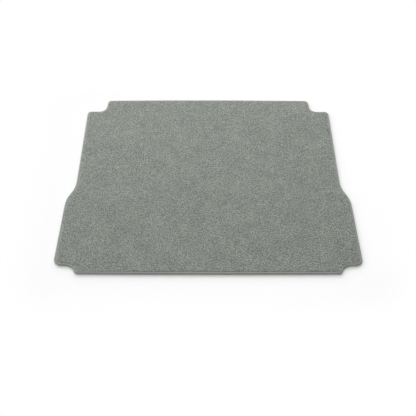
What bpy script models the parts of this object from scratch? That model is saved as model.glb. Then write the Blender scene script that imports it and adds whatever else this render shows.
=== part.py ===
"""Boot carpet mat for a family car, lying flat with its pile up.

The mat has three pieces: a cut-pile carpet, the felt backing under it, and a band bound round
the edge. Carpet and backing thin down to flanges that lie together in the band's channel.
X runs across the car, Y from the tailgate towards the back seats, and Z up. The origin is on
the underside, below the middle of the mat's box. All sizes are in metres.
"""

import math

import bmesh
import bpy
from mathutils import Vector

# Outline, as half widths from the centreline and stations from the tailgate edge
TAILGATE_HALF = 0.4435  # half width of the tailgate edge
TAILGATE_BOW = 0.0020  # how far the tailgate edge bows out at its middle
LATCH_NOTCH_HALF = 0.4545  # the small front notches start here
LATCH_NOTCH_DEPTH = 0.037
WING_HALF = 0.5195  # the widest corners, behind the front notches
FLARE_HALF = 0.510  # the mat is still this wide where the wheel arches begin
FLARE_STATION = 0.3425
ARCH_HALF = 0.480  # half width between the wheel arches
ARCH_STATION = 0.4005
SHOULDER_HALF = 0.4750  # the back corners, outside the back notches
SEAT_NOTCH_STATION = 0.8195  # the square back notches start here
SEAT_NOTCH_HALF = 0.4045
SEAT_EDGE_HALF = 0.3985  # half width of the edge behind the back seats
SEAT_EDGE_STATION = 0.8860
SEAT_EDGE_BOW = 0.0035

# Corner radii of the outline
TAILGATE_CORNER_RADIUS = 0.0135
LATCH_NOTCH_RADIUS = 0.036
WING_RADIUS = 0.0275
FLARE_RADIUS = 0.130
ARCH_RADIUS = 0.134
SHOULDER_RADIUS = 0.0155
SEAT_NOTCH_RADIUS = 0.0285
SEAT_EDGE_CORNER_RADIUS = 0.015

# Section through the edge
LAYER_GAP = 0.0003  # clearance between neighbouring pieces
BAND_THICKNESS = 0.0012  # the band above and below the two flanges
BAND_WALL = 0.0016  # the band outside the flanges
BAND_ROUNDING = 0.0016  # outer edges of the band
UPPER_LIP = 0.0070  # width of the band's top, from its outer face
LOWER_LIP = 0.0085  # width of the band's underside
LIP_ROUNDING = 0.0006  # softened inner edge of the upper lip
BACKING_FLANGE = 0.0014  # thickness of the felt where the band presses it
CARPET_FLANGE = 0.0023  # thickness of the carpet without its pile
PILE_HEIGHT = 0.0045  # pile above the carpet's flange
PILE_SHOULDER = 0.0022  # radius of the pile's top edge

# Fineness of curves
CORNER_STEP = math.radians(8)  # turn of one outline segment in a corner
BOW_SEGMENTS = 9  # outline segments in each half of a bowed edge
ROUNDING_SEGMENTS = 4

# Heights of the stack, from the surface that the mat lies on
channel_floor = BAND_THICKNESS
backing_flange_floor = channel_floor + LAYER_GAP
backing_top = backing_flange_floor + BACKING_FLANGE
carpet_floor = backing_top + LAYER_GAP
flange_top = carpet_floor + CARPET_FLANGE
channel_top = flange_top + LAYER_GAP
band_top = channel_top + BAND_THICKNESS
pile_top = flange_top + PILE_HEIGHT

# Distances inside the outline
flange_end = BAND_WALL + LAYER_GAP
pile_wall = UPPER_LIP + LAYER_GAP
sole_wall = LOWER_LIP + LAYER_GAP


# Outline

def half_corners():
    """(half width, station, radius) of the right half's corners, from the tailgate to the seats."""
    return [
        (TAILGATE_HALF, TAILGATE_BOW, TAILGATE_CORNER_RADIUS),
        (LATCH_NOTCH_HALF, LATCH_NOTCH_DEPTH, LATCH_NOTCH_RADIUS),
        (WING_HALF, LATCH_NOTCH_DEPTH, WING_RADIUS),
        (FLARE_HALF, FLARE_STATION, FLARE_RADIUS),
        (ARCH_HALF, ARCH_STATION, ARCH_RADIUS),
        (SHOULDER_HALF, SEAT_NOTCH_STATION, SHOULDER_RADIUS),
        (SEAT_NOTCH_HALF, SEAT_NOTCH_STATION, SEAT_NOTCH_RADIUS),
        (SEAT_EDGE_HALF, SEAT_EDGE_STATION, SEAT_EDGE_CORNER_RADIUS),
    ]


def rounded(path, radii):
    """Points of an open path whose inner corners are filleted, each limited by its straight sides."""
    legs = [b - a for a, b in zip(path, path[1:])]
    turns = [before.angle(after) for before, after in zip(legs, legs[1:])]
    setbacks = [0.0] + [r * math.tan(turn / 2) for r, turn in zip(radii, turns)] + [0.0]
    shares = [min(1.0, leg.length / max(a + b, 1e-9))
              for leg, a, b in zip(legs, setbacks, setbacks[1:])]
    points = []
    for i, turn in enumerate(turns):
        corner = path[i + 1]
        setback = setbacks[i + 1] * min(shares[i], shares[i + 1])
        radius = setback / math.tan(turn / 2)
        arrive = legs[i].normalized()
        leave = legs[i + 1].normalized()
        inward = (leave - arrive).normalized()
        centre = corner + inward * (radius / math.cos(turn / 2))
        steps = max(2, math.ceil(turn / CORNER_STEP))
        spin = math.copysign(turn, arrive.cross(leave))
        start = corner - arrive * setback - centre
        for k in range(steps + 1):
            a = spin * k / steps
            points.append(centre + Vector((start.x * math.cos(a) - start.y * math.sin(a),
                                           start.x * math.sin(a) + start.y * math.cos(a))))
    return points


def outline():
    """The mat's edge seen from above, anticlockwise from the middle of the tailgate edge."""
    corners = half_corners()
    path = [Vector((0.0, TAILGATE_BOW))]
    path += [Vector((half, station)) for half, station, radius in corners]
    path += [Vector((0.0, SEAT_EDGE_STATION))]
    side = rounded(path, [radius for half, station, radius in corners])
    front_end, back_end = side[0], side[-1]
    shares = [k / BOW_SEGMENTS for k in range(BOW_SEGMENTS)]
    front = [Vector((front_end.x * s, TAILGATE_BOW * s * s)) for s in shares]
    back = [Vector((back_end.x * s, SEAT_EDGE_STATION + SEAT_EDGE_BOW * (1 - s * s)))
            for s in reversed(shares)]
    right = front + side + back
    left = [Vector((-p.x, p.y)) for p in reversed(right[1:-1])]
    middle = (SEAT_EDGE_STATION + SEAT_EDGE_BOW) / 2
    return [Vector((p.x, p.y - middle)) for p in right + left]


def mitres(points):
    """For each point of the outline, the step that moves it and its neighbours 1 m inwards."""
    steps = []
    for before, here, after in zip(points[-1:] + points[:-1], points, points[1:] + points[:1]):
        a = (here - before).normalized()
        b = (after - here).normalized()
        sides = Vector((-a.y, a.x)) + Vector((-b.y, b.x))
        steps.append(sides * (2 / sides.length_squared))
    return steps


# Sections through the edge, as (distance inside the outline, height)

def quarter_round(centre_inset, centre_height, radius, start):
    """A quarter circle, turning from start (0 up, 1 out, 2 down) towards the next of these."""
    points = []
    for k in range(ROUNDING_SEGMENTS + 1):
        a = math.pi / 2 * (start + k / ROUNDING_SEGMENTS)
        points.append((centre_inset - radius * math.sin(a), centre_height + radius * math.cos(a)))
    return points


def binding_section():
    """A folded band: top lip, upright outer face and lower lip round the channel of the flanges."""
    return quarter_round(BAND_ROUNDING, band_top - BAND_ROUNDING, BAND_ROUNDING, 0) + quarter_round(
        BAND_ROUNDING, BAND_ROUNDING, BAND_ROUNDING, 1) + [
        (LOWER_LIP, 0.0),
        (LOWER_LIP, channel_floor),
        (BAND_WALL, channel_floor),
        (BAND_WALL, channel_top),
        (UPPER_LIP, channel_top),
        (UPPER_LIP, band_top - LIP_ROUNDING),
        (UPPER_LIP - LIP_ROUNDING, band_top),
    ]


def carpet_section():
    """The pile's rounded shoulder and wall, then the flange, whose underside runs on as the carpet's."""
    return quarter_round(pile_wall + PILE_SHOULDER, pile_top - PILE_SHOULDER, PILE_SHOULDER, 0) + [
        (pile_wall, flange_top),
        (flange_end, flange_top),
        (flange_end, carpet_floor),
    ]


def backing_section():
    """The flange, and the thicker sole that fills the band's lower lip."""
    return [
        (flange_end, backing_top),
        (flange_end, backing_flange_floor),
        (sole_wall, backing_flange_floor),
        (sole_wall, 0.0),
    ]


# Solids

def felt_material(name, colour, roughness):
    material = bpy.data.materials.new(name)
    material.use_nodes = True
    shader = material.node_tree.nodes["Principled BSDF"]
    shader.inputs["Base Color"].default_value = (*colour, 1.0)
    shader.inputs["Roughness"].default_value = roughness
    shader.inputs["Metallic"].default_value = 0.0
    material.diffuse_color = (*colour, 1.0)
    return material


def edge_loft(name, section, closed, material):
    """Sweeps a section round the outline. An open section is closed by a flat top and underside."""
    edge = outline()
    steps = mitres(edge)
    bm = bmesh.new()
    rings = []
    for inset, height in section:
        rings.append([bm.verts.new((p.x + m.x * inset, p.y + m.y * inset, height))
                      for p, m in zip(edge, steps)])
    pairs = list(zip(rings, rings[1:]))
    if closed:
        pairs.append((rings[-1], rings[0]))
    for upper, lower in pairs:
        for i in range(len(edge)):
            j = (i + 1) % len(edge)
            bm.faces.new((upper[i], lower[i], lower[j], upper[j]))
    if not closed:
        bm.faces.new(rings[0])
        bm.faces.new(list(reversed(rings[-1])))
    bmesh.ops.recalc_face_normals(bm, faces=bm.faces)
    mesh = bpy.data.meshes.new(name)
    bm.to_mesh(mesh)
    bm.free()
    mesh.shade_smooth()
    mesh.set_sharp_from_angle(angle=math.radians(35))
    mesh.materials.append(material)
    piece = bpy.data.objects.new(name, mesh)
    bpy.context.scene.collection.objects.link(piece)
    return piece


def build():
    for old in list(bpy.data.objects):
        bpy.data.objects.remove(old, do_unlink=True)
    pile_grey = felt_material("pile_grey", (0.250, 0.265, 0.241), 0.95)
    band_grey = felt_material("band_grey", (0.215, 0.229, 0.207), 0.85)
    felt_grey = felt_material("felt_grey", (0.330, 0.340, 0.325), 0.95)
    edge_loft("carpet_sheet", carpet_section(), False, pile_grey)
    edge_loft("edge_binding", binding_section(), True, band_grey)
    edge_loft("backing_layer", backing_section(), False, felt_grey)


build()
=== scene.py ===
import math

import bpy
import numpy as np
from mathutils import Matrix, Vector
from mathutils.geometry import delaunay_2d_cdt

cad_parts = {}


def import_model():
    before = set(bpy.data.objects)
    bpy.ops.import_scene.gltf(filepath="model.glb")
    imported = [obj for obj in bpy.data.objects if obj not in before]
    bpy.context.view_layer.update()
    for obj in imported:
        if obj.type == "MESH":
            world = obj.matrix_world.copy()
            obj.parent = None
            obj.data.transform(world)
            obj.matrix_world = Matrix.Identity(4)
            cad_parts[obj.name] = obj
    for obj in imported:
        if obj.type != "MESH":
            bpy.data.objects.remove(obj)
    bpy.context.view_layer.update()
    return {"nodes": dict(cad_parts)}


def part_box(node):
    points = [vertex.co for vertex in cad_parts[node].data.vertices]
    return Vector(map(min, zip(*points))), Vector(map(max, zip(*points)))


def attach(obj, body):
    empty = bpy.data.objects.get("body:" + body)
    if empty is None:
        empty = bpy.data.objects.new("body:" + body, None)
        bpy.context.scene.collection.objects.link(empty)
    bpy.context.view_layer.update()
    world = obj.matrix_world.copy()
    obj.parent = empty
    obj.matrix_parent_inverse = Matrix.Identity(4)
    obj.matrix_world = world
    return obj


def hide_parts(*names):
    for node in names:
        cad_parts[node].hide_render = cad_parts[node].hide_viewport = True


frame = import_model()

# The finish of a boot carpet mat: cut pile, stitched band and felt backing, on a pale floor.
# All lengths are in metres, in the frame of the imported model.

# Camera
CAMERA_TILT = math.radians(47.0)  # below the horizon
CAMERA_YAW = math.radians(0.188)
CAMERA_ROLL = math.radians(0.204)
CAMERA_AIM = Vector((-0.0006, -0.1415, 0.0))
CAMERA_DISTANCE = 3.079
LENS_MM = 74.94
SENSOR_MM = 36.0

# Light
DOME_STRENGTH = 0.273
PANELS = (  # name, centre, turn in degrees, size and radiance
    ("ceiling", (-9.1, 4.85, 3.2), (0, 0, 0), (21.8, 9.5), 1.204),
    ("high_back", (-1.0, 5.0, 3.2), (0, 0, 0), (5.0, 2.4), 4.34),
    ("back_wall", (-2.0, 9.0, 3.1), (-90, 0, 0), (14.0, 3.8), 5.78),
    ("left_wall", (-8.0, 0.0, 3.1), (-90, 0, 90), (12.0, 3.8), 1.22),
    ("front_wall", (0.0, -9.0, 2.6), (90, 0, 0), (16.0, 4.4), 0.985),
)

# Floor
FLOOR_REACH = 12.0  # from its middle to each side
FLOOR_HEIGHT = -0.0003
FLOOR_SHADE = 0.876  # below the mat's middle, for a lit floor that is just white
FLOOR_SLOPE = (0.078, -0.169, 0.0)  # change of shade in a metre, against the falloff of the light
FLOOR_SHADE_CHANGE = (-0.12, 0.11)  # the least and the most that the slope may change the shade
FLOOR_MIDDLE = (0.50, 0.43, 0.0)  # half sizes of the middle box, where the floor looks as it is lit
FLOOR_FADE = (0.045, 0.20)  # distances from that box between which the floor turns plain white

# Section through the edge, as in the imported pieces
UPPER_LIP = 0.0070  # width of the band's top, from its outer face
LOWER_LIP = 0.0085  # width of the band's underside
LIP_ROUNDING = 0.0006  # softened inner edge of the upper lip
BAND_THICKNESS = 0.0012  # the band above and below the flanges
BAND_WALL = 0.0016  # the band outside the flanges
PILE_SHOULDER = 0.0022
GAP = 0.0003  # clearance between neighbouring pieces

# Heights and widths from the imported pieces
carpet_low, carpet_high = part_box("carpet_sheet")
band_low, band_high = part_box("edge_binding")
felt_low, felt_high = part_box("backing_layer")
pile_top = carpet_high.z
carpet_floor = carpet_low.z
band_top = band_high.z
felt_top = felt_high.z
channel_floor = felt_low.z + BAND_THICKNESS
channel_top = band_top - BAND_THICKNESS
flange_top = channel_top - GAP
flange_end = carpet_low.x - band_low.x
pile_wall = UPPER_LIP + GAP
sole_wall = LOWER_LIP + GAP

# Outline
EDGE_STEP = 0.0035  # length of its segments under the pile and round the felt
SEARCH_CELL = 0.004  # grid for finding points near the edge
SEARCH_REACH = 3  # cells round the edge in which distances are worked out
BATCH = 2000  # points worked out at a time

# Pile ground
GROUND_GRID = 0.0042
GROUND_JITTER = 0.2  # in steps of the grid
GROUND_DEPTH = 0.0022  # the ground's height below the pile's top
GROUND_RISE = 0.0006  # how far clumps lift it
GROUND_MARGIN = 0.4  # steps of the grid that stay clear beside the shoulder
# the pile's yarn darkened for the ground: painted shade deep between the tufts
GROUND_PAINTED_SHADE = 0.84

# Tufts
TUFT_LENGTH = 0.0042
TUFT_SPACING = 0.00212
TUFT_JITTER = 0.33  # in spacings
TUFT_RADIUS = 0.0013
TUFT_MARGIN = 0.0006  # between the feet and the pile's wall
TUFT_UNEVENNESS = 0.0002  # how far feet stand above or below their level
SHORTEST_TUFT = 0.90  # as a share of the full length
RADIUS_RANGE = (0.85, 1.15)  # as shares of the usual radius
CLUMP_SIZE = 0.0085  # width of one swirl of leaning tufts
FINE_CLUMP_SIZE = 0.55 * CLUMP_SIZE
FINE_CLUMP_SHARE = 0.45  # strength of the fine swirls beside the wide ones
CLUMP_LEAN = 0.42  # how far a tip leans with its clump, as a share of the tuft's length
STRAY_LEAN = 0.20  # spread of the lean from tuft to tuft
EDGE_DROP = 0.0022  # how much lower the tufts beside the band stand
EDGE_DROP_WIDTH = 0.005
SHADES = (("pile_darkest", 0.82), ("pile_dark", 0.94), ("pile_light", 1.06), ("pile_lightest", 1.18))
SHADE_PATCH = 0.006  # width of a patch of like tufts
SHADE_STRAY = 0.45  # how much single tufts depart from their patch

# Band, with its ribs of thread
BAND_STEPS = 8  # segments of its rounded face
BAND_NOSE = 0.0038  # depth of the rounded face
BAND_WAIST = 0.0031  # height of its outermost line
BAND_SMOOTHING = 6  # points on each side that the direction inwards is smoothed over
RIB_PITCH = 0.0024
RIB_STEPS = 4
RIB_HEIGHT = 0.00022
RIB_SLANT = 0.9  # turn of a rib round the band, in pitches

# Colours
PILE_COLOUR = (0.349, 0.370, 0.3385)
BAND_COLOUR = (0.294, 0.312, 0.284)
FELT_COLOUR = (0.330, 0.340, 0.325)

# Unevenness of the colours: features to a metre, detail, and the least and the largest factor
PILE_NOISES = (
    (14.0, 3.0, 0.94, 1.06),
    (62.0, 1.0, 0.95, 1.05),
    (225.0, 1.0, 0.565, 1.435),
    (950.0, 2.0, 0.75, 1.25),
)
BAND_NOISES = (
    (30.0, 2.0, 0.94, 1.06),
    (1400.0, 2.0, 0.85, 1.15),
)
FELT_NOISES = (
    (18.0, 3.0, 0.92, 1.08),
    (700.0, 3.0, 0.80, 1.20),
)
NOISE_SPAN = (0.3, 0.7)  # where nearly all of a noise's values lie

# Relief of the surfaces: features to a metre, detail, strength and height
PILE_RELIEF = (1300.0, 2.0, 0.7, 0.0008)
BAND_RELIEF = (2600.0, 2.0, 0.5, 0.0002)
FELT_RELIEF = (900.0, 4.0, 0.8, 0.0005)

# Seeds of the random draws
GROUND_SEED = 3
ROOT_SEED = 5
PILE_SEED = 7
WIDE_CLUMP_SEED = 11
FINE_CLUMP_SEED = 12
SHADE_SEED = 21
TUFT_SEED = 30  # of the darkest shade, and one more for each lighter one


# Noise

def gradient_noise(x, y, cell, seed):
    """Smooth seeded noise over the plane, from about -1 to 1, with features about one cell wide."""
    period = 256
    table = np.random.default_rng(seed).uniform(0, 2 * math.pi, (period, period))
    u, v = x / cell, y / cell
    i, j = np.floor(u).astype(int), np.floor(v).astype(int)
    f, g = u - i, v - j
    total = np.zeros(len(x))
    for di in (0, 1):
        for dj in (0, 1):
            angle = table[(i + di) % period, (j + dj) % period]
            dot = np.cos(angle) * (f - di) + np.sin(angle) * (g - dj)
            a, b = 1 - abs(f - di), 1 - abs(g - dj)
            total += dot * a * a * a * (a * (a * 6 - 15) + 10) * b * b * b * (b * (b * 6 - 15) + 10)
    return total * 1.5


def clump_field(x, y):
    """Zero along the partings between clumps of pile, and up to about 1 at a clump's crown."""
    wide = gradient_noise(x, y, CLUMP_SIZE, WIDE_CLUMP_SEED)
    fine = gradient_noise(x + 0.013, y - 0.007, FINE_CLUMP_SIZE, FINE_CLUMP_SEED)
    return np.abs(wide + FINE_CLUMP_SHARE * fine)


def clump_lean(x, y):
    """Direction and strength in which tufts lean, up the slope of the clump field."""
    step = CLUMP_SIZE * 0.08
    gx = (clump_field(x + step, y) - clump_field(x - step, y)) / (2 * step)
    gy = (clump_field(x, y + step) - clump_field(x, y - step)) / (2 * step)
    lean = np.stack([gx, gy], 1) * CLUMP_SIZE * 0.5
    size = np.linalg.norm(lean, axis=1, keepdims=True)
    return lean / np.maximum(size, 1e-9) * np.minimum(size, 1.0)


# Outline

def outline_of(node):
    """The outer edge of a node seen from above, anticlockwise: its ring at the height of its widest point."""
    points = np.array([v.co for v in frame["nodes"][node].data.vertices])
    level = points[points[:, 0].argmax(), 2]
    ring = np.unique(points[abs(points[:, 2] - level) < 1e-5][:, :2].round(6), axis=0)
    return ring[np.argsort(np.arctan2(ring[:, 1], ring[:, 0]))]


def resampled(loop, step):
    """A closed loop again, with evenly spaced points about step apart."""
    ends = np.vstack([loop, loop[:1]])
    along = np.concatenate([[0], np.cumsum(np.linalg.norm(np.diff(ends, axis=0), axis=1))])
    count = int(round(along[-1] / step))
    at = np.linspace(0, along[-1], count, endpoint=False)
    return np.stack([np.interp(at, along, ends[:, k]) for k in (0, 1)], 1)


def inward_of(loop, reach):
    """Unit steps to the inside at each point of an evenly spaced loop, smoothed over reach points."""
    tangent = np.roll(loop, -1, 0) - np.roll(loop, 1, 0)
    tangent /= np.linalg.norm(tangent, axis=1, keepdims=True)
    smooth = sum(np.roll(tangent, k, 0) for k in range(-reach, reach + 1))
    smooth /= np.linalg.norm(smooth, axis=1, keepdims=True)
    return np.stack([-smooth[:, 1], smooth[:, 0]], 1)


def polygon_mask(points, loop):
    """True for points inside a closed loop, by counting the edges crossed along a row."""
    inside = np.zeros(len(points), bool)
    ax, ay = loop[:, 0], loop[:, 1]
    bx, by = np.roll(ax, -1), np.roll(ay, -1)
    order = np.argsort(points[:, 1])
    for k in range(0, len(points), BATCH):
        part = order[k:k + BATCH]
        x, y = points[part, 0], points[part, 1]
        use = (np.maximum(ay, by) >= y.min()) & (np.minimum(ay, by) <= y.max())
        a0, a1, b0, b1 = ax[use], ay[use], bx[use], by[use]
        crosses = (a1[None] > y[:, None]) != (b1[None] > y[:, None])
        with np.errstate(divide="ignore", invalid="ignore"):
            where = a0 + (y[:, None] - a1) / (b1 - a1) * (b0 - a0)
        inside[part] = (crosses & (x[:, None] < where)).sum(1) % 2 == 1
    return inside


def edge_distance(points, loop):
    """How far each point lies inside a dense loop, known only up to the reach of the search."""
    far = SEARCH_REACH * SEARCH_CELL
    low = loop.min(0) - far
    shape = np.ceil((loop.max(0) + far - low) / SEARCH_CELL).astype(int) + 1
    near_edge = np.zeros(shape, bool)
    for i, j in ((loop - low) / SEARCH_CELL).astype(int):
        across = slice(max(0, i - SEARCH_REACH), i + SEARCH_REACH + 1)
        along = slice(max(0, j - SEARCH_REACH), j + SEARCH_REACH + 1)
        near_edge[across, along] = True
    inside = polygon_mask(points, loop)
    result = np.where(inside, far, -far)
    cell = ((points - low) / SEARCH_CELL).astype(int)
    on_grid = (cell >= 0).all(1) & (cell < shape).all(1)
    i, j = np.clip(cell, 0, shape - 1).T
    check = np.nonzero(on_grid & near_edge[i, j])[0]
    for k in range(0, len(check), BATCH):
        part = check[k:k + BATCH]
        gap = np.linalg.norm(points[part, None] - loop[None], axis=2).min(1)
        result[part] = np.where(inside[part], np.minimum(gap, far), -gap)
    return result


# Meshes

def mesh_from(name, vertices, faces):
    """A mesh of equal polygons, from arrays of points and of corner numbers."""
    count, corners = faces.shape
    mesh = bpy.data.meshes.new(name)
    mesh.vertices.add(len(vertices))
    mesh.vertices.foreach_set("co", np.asarray(vertices, np.float32).ravel())
    mesh.loops.add(count * corners)
    mesh.loops.foreach_set("vertex_index", np.asarray(faces, np.int32).ravel())
    mesh.polygons.add(count)
    mesh.polygons.foreach_set("loop_start", np.arange(count, dtype=np.int32) * corners)
    mesh.update(calc_edges=True)
    mesh.shade_smooth()
    return mesh


def add_piece(name, mesh, material):
    """A piece of the mat, which rides on its one body."""
    piece = bpy.data.objects.new(name, mesh)
    bpy.context.scene.collection.objects.link(piece)
    mesh.materials.append(material)
    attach(piece, "root")
    return piece


def swept_rings(loop, inward, section):
    """Points of rings at (inset, height) round the loop, one ring after the other."""
    rings = []
    for inset, height in section:
        flat = loop + inward * inset
        rings.append(np.column_stack([flat, np.full(len(loop), height)]))
    return np.vstack(rings)


def ring_quads(count, rings, closed):
    """Quads between neighbouring rings of count points, facing out where the rings run down the outside."""
    quads = []
    i = np.arange(count)
    j = (i + 1) % count
    for r in range(rings if closed else rings - 1):
        a, b = r * count, (r + 1) % rings * count
        quads.append(np.stack([a + i, b + i, b + j, a + j], 1))
    return np.vstack(quads)


def enclosed(triangles, count):
    """The triangles on the inner side of a rim whose points are numbered 0 to count - 1, anticlockwise."""
    sides = {}
    for k, (a, b, c) in enumerate(triangles.tolist()):
        sides[a, b] = sides[b, c] = sides[c, a] = k
    rim = [(k, (k + 1) % count) for k in range(count)]
    barred = set(rim) | {(b, a) for a, b in rim}
    found = {sides[side] for side in rim if side in sides}
    ahead = list(found)
    while ahead:
        a, b, c = triangles[ahead.pop()].tolist()
        for side in ((a, b), (b, c), (c, a)):
            beyond = sides.get(side[::-1])
            if side not in barred and beyond is not None and beyond not in found:
                found.add(beyond)
                ahead.append(beyond)
    return triangles[sorted(found)]


def slab(name, loop, inward, section, top_points=(), top_height=None):
    """A closed slab: the section swept round the edge, a triangulated top and a flat underside."""
    count = len(loop)
    points = swept_rings(loop, inward, section)
    quads = ring_quads(count, len(section), False)
    plan = [Vector(p) for p in points[:count, :2]] + [Vector(p) for p in top_points]
    rim = [(k, (k + 1) % count) for k in range(count)]
    made = delaunay_2d_cdt(plan, rim, [], 0, 1e-7, False)
    number = np.concatenate([np.arange(count), len(points) + np.arange(len(top_points))])
    top = number[enclosed(np.array(made[2]), count)]
    if len(top_points):
        height = top_height(top_points[:, 0], top_points[:, 1])
        points = np.vstack([points, np.column_stack([top_points, height])])
    underside = (len(section) - 1) * count + np.arange(count)[::-1]
    mesh = bpy.data.meshes.new(name)
    mesh.from_pydata(points.tolist(), [], quads.tolist() + top.tolist() + [underside.tolist()])
    mesh.shade_smooth()
    return mesh


def jittered_grid(low, high, step, jitter, seed):
    """Points of a staggered grid over a box, each moved at random by up to jitter steps."""
    rng = np.random.default_rng(seed)
    rows = np.arange(low.y, high.y, step * math.sqrt(3) / 2)
    columns = np.arange(low.x, high.x, step)
    x = columns[None] + (np.arange(len(rows)) % 2 * step / 2)[:, None]
    y = np.repeat(rows[:, None], len(columns), 1)
    points = np.stack([x.ravel(), y.ravel()], 1)
    return points + rng.uniform(-jitter, jitter, points.shape) * step


# Materials

def new_material(name):
    """A material, and its shader."""
    material = bpy.data.materials.new(name)
    material.use_nodes = True
    shader = material.node_tree.nodes["Principled BSDF"]
    return material, shader


def ramp(tree, value, source, target, interpolation="LINEAR"):
    """A value carried over from the source range to the target range, and held at its ends."""
    node = tree.nodes.new("ShaderNodeMapRange")
    node.interpolation_type = interpolation
    for name, number in zip(("From Min", "From Max", "To Min", "To Max"), (*source, *target)):
        node.inputs[name].default_value = number
    tree.links.new(value, node.inputs["Value"])
    return node.outputs["Result"]


def noise(tree, features, detail):
    """A noise over the piece, with so many features to a metre."""
    place = tree.nodes.new("ShaderNodeTexCoord")
    node = tree.nodes.new("ShaderNodeTexNoise")
    node.inputs["Scale"].default_value = features
    node.inputs["Detail"].default_value = detail
    tree.links.new(place.outputs["Object"], node.inputs["Vector"])
    return node.outputs["Fac"]


def product(tree, *factors):
    """All the factors multiplied together."""
    total = factors[0]
    for factor in factors[1:]:
        node = tree.nodes.new("ShaderNodeMath")
        node.operation = "MULTIPLY"
        tree.links.new(total, node.inputs[0])
        tree.links.new(factor, node.inputs[1])
        total = node.outputs[0]
    return total


def tinted(tree, colour, factor):
    """A colour scaled by a factor that varies over the surface."""
    node = tree.nodes.new("ShaderNodeVectorMath")
    node.operation = "SCALE"
    node.inputs[0].default_value = colour
    tree.links.new(factor, node.inputs["Scale"])
    return node.outputs["Vector"]


def bump(tree, shader, features, detail, strength, height):
    """A fine relief, seen in the shading only."""
    node = tree.nodes.new("ShaderNodeBump")
    node.inputs["Strength"].default_value = strength
    node.inputs["Distance"].default_value = height
    tree.links.new(noise(tree, features, detail), node.inputs["Height"])
    tree.links.new(node.outputs["Normal"], shader.inputs["Normal"])


def textile(name, colour, noises, relief, roughness, specular):
    """A matt textile in an uneven colour."""
    material, shader = new_material(name)
    tree = material.node_tree
    factors = [ramp(tree, noise(tree, features, detail), NOISE_SPAN, (least, largest))
               for features, detail, least, largest in noises]
    tree.links.new(tinted(tree, colour, product(tree, *factors)), shader.inputs["Base Color"])
    shader.inputs["Roughness"].default_value = roughness
    shader.inputs["Specular IOR Level"].default_value = specular
    bump(tree, shader, *relief)
    return material


def yarn_material(name, shade):
    """Matt cut yarn, a little uneven from tuft to tuft and over a hand's width."""
    colour = [c * shade for c in PILE_COLOUR]
    return textile(name, colour, PILE_NOISES, PILE_RELIEF, 0.95, 0.05)


def band_material():
    """The band's whipped thread, a little smoother than the pile."""
    return textile("band_yarn", BAND_COLOUR, BAND_NOISES, BAND_RELIEF, 0.85, 0.05)


def felt_material():
    """Coarse needled felt."""
    return textile("needled_felt", FELT_COLOUR, FELT_NOISES, FELT_RELIEF, 0.95, 0.15)


# Pieces

def pile_ground(loop, inward, material):
    """The dense lower part of the pile with its backing cloth, lifted where the clumps stand."""
    shoulder = pile_wall + PILE_SHOULDER
    shoulder_top = pile_top - GROUND_DEPTH
    section = [(shoulder, shoulder_top), (pile_wall + GAP, band_top + GAP), (pile_wall, band_top),
               (pile_wall, flange_top), (flange_end, flange_top), (flange_end, carpet_floor)]
    low, high = Vector(loop.min(0)), Vector(loop.max(0))
    inner = jittered_grid(low, high, GROUND_GRID, GROUND_JITTER, GROUND_SEED)
    inner = inner[edge_distance(inner, loop) > shoulder + GROUND_MARGIN * GROUND_GRID]

    def height(x, y):
        return shoulder_top + GROUND_RISE * np.minimum(clump_field(x, y), 1.0)

    mesh = slab("pile_ground", loop, inward, section, inner, height)
    return add_piece("pile_ground", mesh, material)


def tufts(name, feet, lean, length, material, seed):
    """Three-sided tapering tufts that stand on their feet in the ground."""
    rng = np.random.default_rng(seed)
    count = len(feet)
    turn = rng.uniform(0, 2 * math.pi, count)
    radius = TUFT_RADIUS * rng.uniform(*RADIUS_RANGE, count)
    points = np.zeros((count, 4, 3))
    for k in range(3):
        angle = turn + 2 * math.pi * k / 3
        points[:, k, 0] = feet[:, 0] + radius * np.cos(angle)
        points[:, k, 1] = feet[:, 1] + radius * np.sin(angle)
        points[:, k, 2] = feet[:, 2]
    reach = length[:, None] * lean
    points[:, 3, :2] = feet[:, :2] + reach
    points[:, 3, 2] = feet[:, 2] + np.sqrt(np.maximum(length ** 2 - (reach ** 2).sum(1), 1e-8))
    corner = np.array([[0, 1, 3], [1, 2, 3], [2, 0, 3]])
    faces = (np.arange(count)[:, None, None] * 4 + corner).reshape(-1, 3)
    mesh = mesh_from(name, points.reshape(-1, 3), faces)
    layer = mesh.uv_layers.new(name="OFBake")
    flat = points.reshape(-1, 3)[faces.ravel(), :2]
    spread = (flat - flat.min(0)) / (flat.max(0) - flat.min(0))
    layer.data.foreach_set("uv", spread.astype(np.float32).ravel())
    return add_piece(name, mesh, material)


def pile(loop):
    """Every tuft of the pile, sorted into its shades of yarn."""
    low, high = Vector(loop.min(0)), Vector(loop.max(0))
    roots = jittered_grid(low, high, TUFT_SPACING, TUFT_JITTER, ROOT_SEED)
    depth = edge_distance(roots, loop)
    keep = depth > pile_wall + TUFT_MARGIN
    roots, depth = roots[keep], depth[keep]
    rng = np.random.default_rng(PILE_SEED)
    lean = CLUMP_LEAN * clump_lean(roots[:, 0], roots[:, 1]) + rng.normal(0, STRAY_LEAN, roots.shape)
    length = TUFT_LENGTH * rng.uniform(SHORTEST_TUFT, 1.0, len(roots))
    level = pile_top - TUFT_LENGTH + TUFT_UNEVENNESS * rng.uniform(-1, 1, len(roots))
    level -= EDGE_DROP * (1 - np.clip((depth - pile_wall) / EDGE_DROP_WIDTH, 0, 1)) ** 2
    shade = gradient_noise(roots[:, 0], roots[:, 1], SHADE_PATCH, SHADE_SEED)
    shade += rng.normal(0, SHADE_STRAY, len(roots))
    limits = np.quantile(shade, np.arange(1, len(SHADES)) / len(SHADES))
    group = np.digitize(shade, limits)
    feet = np.column_stack([roots, level])
    pieces = []
    for k, (name, tone) in enumerate(SHADES):
        mine = group == k
        yarn = yarn_material(name, tone)
        pieces.append(tufts(name, feet[mine], lean[mine], length[mine], yarn, TUFT_SEED + k))
    return pieces


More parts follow.
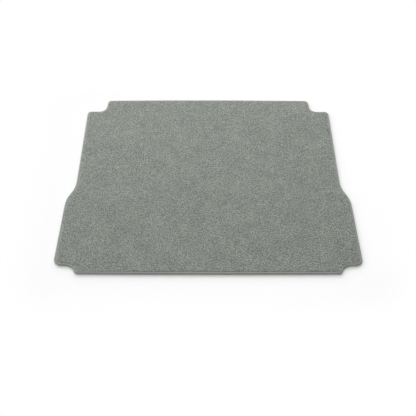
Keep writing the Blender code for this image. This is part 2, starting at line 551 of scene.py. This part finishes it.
def band_section():
    """The band's section, as (inset, height, and how far the ribs stand out sideways and upwards)."""
    section = [(UPPER_LIP, channel_top, 0, 0), (UPPER_LIP, band_top - LIP_ROUNDING, 0.3, 0),
               (UPPER_LIP - LIP_ROUNDING, band_top, 0, 1)]
    for k in range(BAND_STEPS + 1):
        out, up = math.sin(math.pi * k / BAND_STEPS), math.cos(math.pi * k / BAND_STEPS)
        swell = min(1.0, 2.0 * (1 - k / BAND_STEPS))
        half = band_top - BAND_WAIST if up > 0 else BAND_WAIST
        section.append((BAND_NOSE * (1 - out), BAND_WAIST + half * up, -out * swell, up * swell))
    section += [(LOWER_LIP, 0.0, 0, 0), (LOWER_LIP, channel_floor, 0, 0),
                (BAND_WALL, channel_floor, 0, 0), (BAND_WALL, channel_top, 0, 0)]
    return section


def stitched_band(outline):
    """The folded band with a rounded outer face, ribbed by the thread that is whipped over it."""
    loop = resampled(outline, RIB_PITCH / RIB_STEPS)
    inward = inward_of(loop, BAND_SMOOTHING)
    section = band_section()
    along = np.arange(len(loop)) / RIB_STEPS
    rings = []
    for k, (inset, height, out, up) in enumerate(section):
        wave = 0.5 - 0.5 * np.cos(2 * math.pi * (along + RIB_SLANT * k / len(section)))
        lift = RIB_HEIGHT * (np.sqrt(wave) - 1.0)
        flat = loop + inward * (inset + out * lift)[:, None]
        rings.append(np.column_stack([flat, height + up * lift]))
    quads = ring_quads(len(loop), len(section), True)
    mesh = mesh_from("edge_band", np.vstack(rings), quads)
    return add_piece("edge_band", mesh, band_material())


def felt_layer(loop, inward, material):
    """The felt under the carpet, thin in the band and thicker inside it."""
    section = [(flange_end, felt_top), (flange_end, channel_floor + GAP), (sole_wall, channel_floor + GAP),
               (sole_wall, 0.0)]
    mesh = slab("felt_backing", loop, inward, section)
    return add_piece("felt_backing", mesh, material)


# Stage

def vector_math(tree, operation, vector, operand=(0, 0, 0)):
    """The result of one vector calculation, which is a number for a length and for a dot product."""
    node = tree.nodes.new("ShaderNodeVectorMath")
    node.operation = operation
    node.inputs[1].default_value = operand
    tree.links.new(vector, node.inputs[0])
    return node.outputs["Value" if operation in ("LENGTH", "DOT_PRODUCT") else "Vector"]


def floor_shade(tree, place):
    """The floor's own shade, which slopes against the falloff of the light."""
    slope = vector_math(tree, "DOT_PRODUCT", place, FLOOR_SLOPE)
    return ramp(tree, slope, FLOOR_SHADE_CHANGE, [FLOOR_SHADE + change for change in FLOOR_SHADE_CHANGE])


def floor_fade(tree, place):
    """Zero over the floor's middle box, and 1 where the floor is plain white."""
    beyond = vector_math(tree, "ABSOLUTE", place)
    beyond = vector_math(tree, "SUBTRACT", beyond, FLOOR_MIDDLE)
    beyond = vector_math(tree, "MAXIMUM", beyond)
    return ramp(tree, vector_math(tree, "LENGTH", beyond), FLOOR_FADE, (0, 1), "SMOOTHSTEP")


def floor():
    """A pale floor that takes the mat's shadow, and runs out to plain white away from it."""
    mesh = bpy.data.meshes.new("floor")
    corners = [(x * FLOOR_REACH, y * FLOOR_REACH, 0) for x, y in ((-1, -1), (1, -1), (1, 1), (-1, 1))]
    mesh.from_pydata(corners, [], [(0, 1, 2, 3)])
    piece = bpy.data.objects.new("floor", mesh)
    piece.location.z = FLOOR_HEIGHT
    bpy.context.scene.collection.objects.link(piece)
    material, shader = new_material("white_floor")
    shader.inputs["Roughness"].default_value = 1.0
    shader.inputs["Specular IOR Level"].default_value = 0.0
    tree = material.node_tree
    place = tree.nodes.new("ShaderNodeTexCoord").outputs["Object"]
    tree.links.new(floor_shade(tree, place), shader.inputs["Base Color"])
    path = tree.nodes.new("ShaderNodeLightPath")
    white = tree.nodes.new("ShaderNodeEmission")
    mix = tree.nodes.new("ShaderNodeMixShader")
    tree.links.new(product(tree, floor_fade(tree, place), path.outputs["Is Camera Ray"]), mix.inputs["Fac"])
    tree.links.new(shader.outputs["BSDF"], mix.inputs[1])
    tree.links.new(white.outputs["Emission"], mix.inputs[2])
    tree.links.new(mix.outputs["Shader"], tree.nodes["Material Output"].inputs["Surface"])
    mesh.materials.append(material)


def world():
    """A dim dome that lights the mat, and is seen as white."""
    dome = bpy.data.worlds.new("studio")
    bpy.context.scene.world = dome
    dome.use_nodes = True
    tree = dome.node_tree
    light = tree.nodes["Background"]
    light.inputs["Color"].default_value = (1, 1, 1, 1)
    light.inputs["Strength"].default_value = DOME_STRENGTH
    seen = tree.nodes.new("ShaderNodeBackground")
    seen.inputs["Color"].default_value = (1, 1, 1, 1)
    path = tree.nodes.new("ShaderNodeLightPath")
    mix = tree.nodes.new("ShaderNodeMixShader")
    tree.links.new(path.outputs["Is Camera Ray"], mix.inputs["Fac"])
    tree.links.new(light.outputs["Background"], mix.inputs[1])
    tree.links.new(seen.outputs["Background"], mix.inputs[2])
    tree.links.new(mix.outputs["Shader"], tree.nodes["World Output"].inputs["Surface"])


def panel(name, place, turn, size, radiance):
    """A soft rectangular light of even radiance, which isn't seen itself."""
    lamp = bpy.data.lights.new(name, "AREA")
    lamp.shape = "RECTANGLE"
    lamp.size, lamp.size_y = size
    lamp.energy = radiance * math.pi * lamp.size * lamp.size_y
    piece = bpy.data.objects.new(name, lamp)
    piece.location = place
    piece.rotation_euler = [math.radians(angle) for angle in turn]
    piece.visible_camera = False
    bpy.context.scene.collection.objects.link(piece)


def lights():
    """Panels mostly behind the mat and to its left, so that its shadow falls to the front and the right."""
    for name, place, turn, size, radiance in PANELS:
        panel(name, place, turn, size, radiance)


def camera():
    """The photo's camera, looking down at the mat from the tailgate."""
    forward = Vector((math.sin(CAMERA_YAW) * math.cos(CAMERA_TILT),
                      math.cos(CAMERA_YAW) * math.cos(CAMERA_TILT), -math.sin(CAMERA_TILT)))
    level = Vector((math.cos(CAMERA_YAW), -math.sin(CAMERA_YAW), 0.0))
    upright = level.cross(forward)
    right = level * math.cos(CAMERA_ROLL) + upright * math.sin(CAMERA_ROLL)
    up = upright * math.cos(CAMERA_ROLL) - level * math.sin(CAMERA_ROLL)
    data = bpy.data.cameras.new("camera")
    data.lens = LENS_MM
    data.sensor_width = SENSOR_MM
    eye = bpy.data.objects.new("camera", data)
    turn = Matrix((right, up, -forward)).transposed().to_4x4()
    eye.matrix_world = Matrix.Translation(CAMERA_AIM - forward * CAMERA_DISTANCE) @ turn
    bpy.context.scene.collection.objects.link(eye)
    bpy.context.scene.camera = eye


# Assembly

outline = outline_of("edge_binding")
edge = resampled(outline, EDGE_STEP)
edge_inward = inward_of(edge, 1)

# the ground takes the pile's yarn darkened as painted shade between the tufts
ground_piece = pile_ground(edge, edge_inward, yarn_material("pile_roots_painted_shade", GROUND_PAINTED_SHADE))
tuft_pieces = pile(edge)
band_piece = stitched_band(outline)
felt_piece = felt_layer(edge, edge_inward, felt_material())
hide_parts("carpet_sheet")
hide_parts("edge_binding")
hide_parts("backing_layer")

floor()
world()
lights()
camera()
bpy.context.scene.view_settings.view_transform = "Standard"
